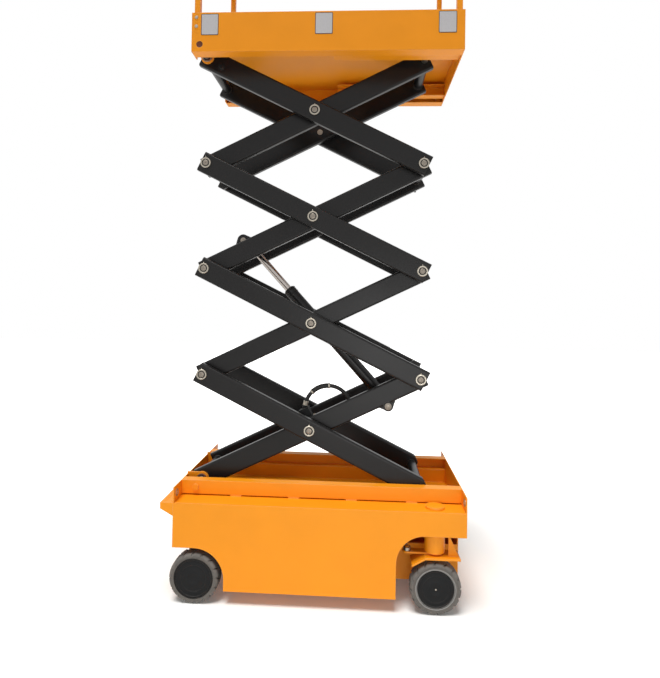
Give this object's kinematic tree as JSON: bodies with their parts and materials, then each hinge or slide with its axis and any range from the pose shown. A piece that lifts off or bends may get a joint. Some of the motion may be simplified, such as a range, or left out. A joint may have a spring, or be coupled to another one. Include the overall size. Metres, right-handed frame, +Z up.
{
  "type": "scissor lift",
  "caption": "Small electric scissor lift: stacked crossed arms and a cylinder raise a railed work platform above a steered four-wheel chassis.",
  "frame": {"origin": "on the floor, below the middle of the machine's box", "axes": "+X towards the steered end, +Y to the machine's left, +Z up"},
  "size_m": [1.394, 0.76, 3.754],
  "materials": {
    "orange_paint": "orange-yellow powder coat",
    "tyre_rubber": "solid grey-black tyre",
    "hub_paint": "black paint",
    "arm_paint": "charcoal paint",
    "zinc_steel": "zinc plated steel",
    "barrel_paint": "black paint",
    "hose_rubber": "braided hydraulic hose",
    "chrome_rod": "hard chrome",
    "nylon": "natural cast nylon",
    "deck_plate": "tread plate, painted",
    "battery_case": "closed block of battery weight",
    "control_case": "moulded case"
  },
  "bodies": {
    "chassis": {"tub": "orange_paint", "slide_rails": "orange_paint", "right_side_panel": "orange_paint", "left_side_panel": "orange_paint", "rear_end_plate": "orange_paint", "front_end_plate": "orange_paint", "rear_step": "orange_paint", "belly_pan": "orange_paint", "battery_pack": "battery_case", "rear_axle": "orange_paint", "front_axle": "orange_paint", "kingpin_caps": "orange_paint", "base_pins": "zinc_steel"},
    "right_knuckle": {"right_knuckle": "orange_paint"},
    "left_knuckle": {"left_knuckle": "orange_paint"},
    "tie_rod": {"tie_rod": "zinc_steel"},
    "rear_right_wheel": {"rear_right_tyre": "tyre_rubber", "rear_right_hub": "hub_paint"},
    "rear_left_wheel": {"rear_left_tyre": "tyre_rubber", "rear_left_hub": "hub_paint"},
    "front_right_wheel": {"front_right_tyre": "tyre_rubber", "front_right_hub": "hub_paint"},
    "front_left_wheel": {"front_left_tyre": "tyre_rubber", "front_left_hub": "hub_paint"},
    "inner_1": {"inner_arms_1": "arm_paint", "cross_tubes_1": "arm_paint", "cylinder_foot_lugs": "arm_paint", "valve_block": "barrel_paint", "hydraulic_hose": "hose_rubber"},
    "outer_1": {"outer_arms_1": "arm_paint", "pins_1": "zinc_steel"},
    "inner_2": {"inner_arms_2": "arm_paint", "cross_tubes_2": "arm_paint"},
    "outer_2": {"outer_arms_2": "arm_paint", "pins_2": "zinc_steel"},
    "inner_3": {"inner_arms_3": "arm_paint", "cross_tubes_3": "arm_paint", "cylinder_eye_lugs": "arm_paint"},
    "outer_3": {"outer_arms_3": "arm_paint", "pins_3": "zinc_steel"},
    "inner_4": {"inner_arms_4": "arm_paint", "cross_tubes_4": "arm_paint", "platform_slide_pins": "zinc_steel"},
    "outer_4": {"outer_arms_4": "arm_paint", "pins_4": "zinc_steel"},
    "lift_barrel": {"lift_barrel": "barrel_paint"},
    "lift_rod": {"lift_rod": "chrome_rod"},
    "base_slider": {"base_slide_blocks": "nylon"},
    "platform_slider": {"platform_slide_blocks": "nylon"},
    "platform": {"platform_sides": "orange_paint", "platform_ends": "orange_paint", "deck": "deck_plate", "platform_channels": "orange_paint", "platform_lugs": "orange_paint", "guard_posts": "orange_paint", "guard_rails": "orange_paint", "control_box": "control_case"},
    "gate": {"entry_gate": "orange_paint"}
  },
  "joints": [
    {"name": "lift", "type": "hinge", "parent": "chassis", "child": "inner_1", "pos_m": [-0.564, 0, 0.5045], "axis": [0, -1, 0], "range_deg": [-20.6, 30]},
    {"name": "centre_pin_1", "type": "hinge", "parent": "inner_1", "child": "outer_1", "pos_m": [-0.03102, 0, 0.76445], "axis": [0, 1, 0], "range_deg": [-41.2, 60]},
    {"name": "left_pin_1", "type": "hinge", "parent": "outer_1", "child": "inner_2", "pos_m": [-0.564, 0, 1.02441], "axis": [0, -1, 0], "range_deg": [-41.2, 60]},
    {"name": "centre_pin_2", "type": "hinge", "parent": "inner_2", "child": "outer_2", "pos_m": [-0.03102, 0, 1.28436], "axis": [0, 1, 0], "range_deg": [-41.2, 60]},
    {"name": "left_pin_2", "type": "hinge", "parent": "outer_2", "child": "inner_3", "pos_m": [-0.564, 0, 1.54432], "axis": [0, -1, 0], "range_deg": [-41.2, 60]},
    {"name": "centre_pin_3", "type": "hinge", "parent": "inner_3", "child": "outer_3", "pos_m": [-0.03102, 0, 1.80427], "axis": [0, 1, 0], "range_deg": [-41.2, 60]},
    {"name": "left_pin_3", "type": "hinge", "parent": "outer_3", "child": "inner_4", "pos_m": [-0.564, 0, 2.06422], "axis": [0, -1, 0], "range_deg": [-41.2, 60]},
    {"name": "centre_pin_4", "type": "hinge", "parent": "inner_4", "child": "outer_4", "pos_m": [-0.03102, 0, 2.32418], "axis": [0, 1, 0], "range_deg": [-41.2, 60]},
    {"name": "platform_pivot", "type": "hinge", "parent": "outer_4", "child": "platform", "pos_m": [-0.564, 0, 2.58413], "axis": [0, -1, 0], "range_deg": [-20.6, 30]},
    {"name": "base_slide_pin", "type": "hinge", "parent": "outer_1", "child": "base_slider", "pos_m": [0.50197, 0, 0.5045], "axis": [0, -1, 0], "range_deg": [-20.6, 30]},
    {"name": "platform_slide_pin", "type": "hinge", "parent": "inner_4", "child": "platform_slider", "pos_m": [0.50197, 0, 2.58413], "axis": [0, 1, 0], "range_deg": [-20.6, 30]},
    {"name": "barrel_pivot", "type": "hinge", "parent": "inner_1", "child": "lift_barrel", "pos_m": [0.35031, 0, 0.88368], "axis": [0, 1, 0], "range_deg": [-39.14, 57]},
    {"name": "rod_slide", "type": "slide", "parent": "lift_barrel", "child": "lift_rod", "axis": [-0.6748, 0, 0.738], "range_m": [-0.28342, 0.4127]},
    {"name": "steer", "type": "hinge", "parent": "chassis", "child": "right_knuckle", "pos_m": [0.563, -0.318, 0.25], "axis": [0, 0, 1], "range_deg": [-55, 55]},
    {"name": "steer_left", "type": "hinge", "parent": "chassis", "child": "left_knuckle", "pos_m": [0.563, 0.318, 0.25], "axis": [0, 0, 1], "range_deg": [-55, 55]},
    {"name": "tie_rod_swing", "type": "hinge", "parent": "right_knuckle", "child": "tie_rod", "pos_m": [0.438, -0.318, 0.2685], "axis": [0, 0, -1], "range_deg": [-55, 55]},
    {"name": "rear_right_wheel_spin", "type": "hinge", "parent": "chassis", "child": "rear_right_wheel", "pos_m": [-0.536, -0.34, 0.115], "axis": [0, 1, 0], "continuous": true},
    {"name": "rear_left_wheel_spin", "type": "hinge", "parent": "chassis", "child": "rear_left_wheel", "pos_m": [-0.536, 0.34, 0.115], "axis": [0, 1, 0], "continuous": true},
    {"name": "front_right_wheel_spin", "type": "hinge", "parent": "right_knuckle", "child": "front_right_wheel", "pos_m": [0.563, -0.34, 0.115], "axis": [0, 1, 0], "continuous": true},
    {"name": "front_left_wheel_spin", "type": "hinge", "parent": "left_knuckle", "child": "front_left_wheel", "pos_m": [0.563, 0.34, 0.115], "axis": [0, 1, 0], "continuous": true},
    {"name": "gate_swing", "type": "hinge", "parent": "platform", "child": "gate", "pos_m": [-0.578, 0.304, 3.44949], "axis": [0, 0, 1], "range_deg": [0, 90]}
  ],
  "couplings": [
    {"joint": "centre_pin_1", "follows": "lift", "ratio": 2},
    {"joint": "left_pin_1", "follows": "lift", "ratio": 2},
    {"joint": "centre_pin_2", "follows": "lift", "ratio": 2},
    {"joint": "left_pin_2", "follows": "lift", "ratio": 2},
    {"joint": "centre_pin_3", "follows": "lift", "ratio": 2},
    {"joint": "left_pin_3", "follows": "lift", "ratio": 2},
    {"joint": "centre_pin_4", "follows": "lift", "ratio": 2},
    {"joint": "platform_pivot", "follows": "lift", "ratio": 1},
    {"joint": "base_slide_pin", "follows": "lift", "ratio": 1},
    {"joint": "platform_slide_pin", "follows": "lift", "ratio": 1},
    {"joint": "barrel_pivot", "follows": "lift", "ratio": 1.9},
    {"joint": "rod_slide", "follows": "lift", "m_per_rad": 0.788},
    {"joint": "steer_left", "follows": "steer", "ratio": 1},
    {"joint": "tie_rod_swing", "follows": "steer", "ratio": 1}
  ]
}
